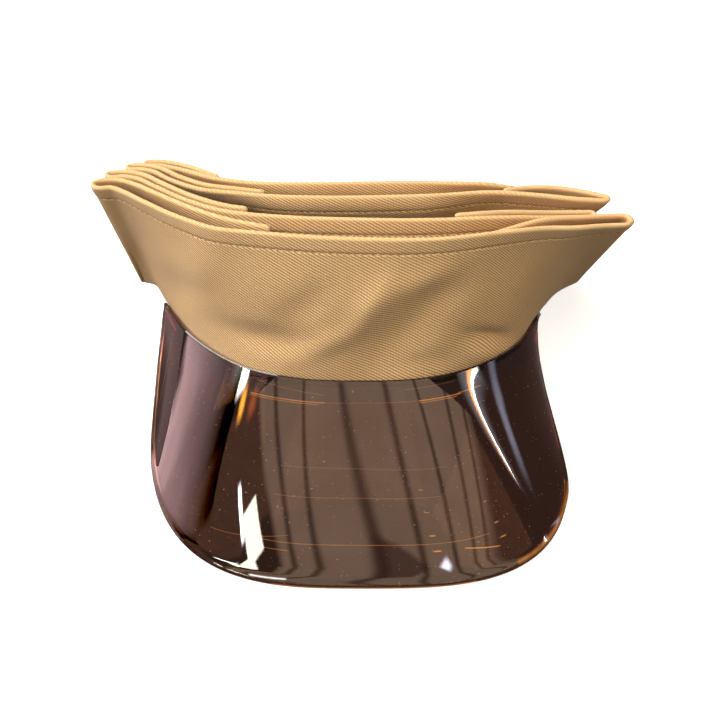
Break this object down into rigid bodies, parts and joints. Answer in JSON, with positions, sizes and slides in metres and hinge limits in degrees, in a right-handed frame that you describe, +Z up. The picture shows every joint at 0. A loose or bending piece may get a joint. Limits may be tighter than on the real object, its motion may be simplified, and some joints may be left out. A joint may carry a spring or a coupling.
{
  "type": "peaked cap",
  "caption": "Cloth peaked cap with a collapsed crown of hemmed leaves, open through the middle to the head, behind a glossy transparent dark amber peak.",
  "frame": {"origin": "under the middle of the cap's bounding box, on the surface it rests on", "axes": "+X to the wearer's left as seen from the front (right in the picture), -Y the way the peak points, +Z up"},
  "size_m": [0.242, 0.1858, 0.1172],
  "materials": {
    "amber_plastic": "glossy transparent dark amber plastic, polished, with brighter orange cut edges",
    "khaki_twill": "khaki cotton twill with a fine diagonal rib, matt, stitched hems",
    "khaki_tape": "plain khaki cotton tape, matt"
  },
  "bodies": {
    "root": {"peak": "amber_plastic", "crown_front_leaf": "khaki_twill", "crown_second_leaf": "khaki_twill", "crown_third_leaf": "khaki_twill", "crown_rear_leaf": "khaki_twill", "base_band": "khaki_tape"}
  },
  "joints": []
}
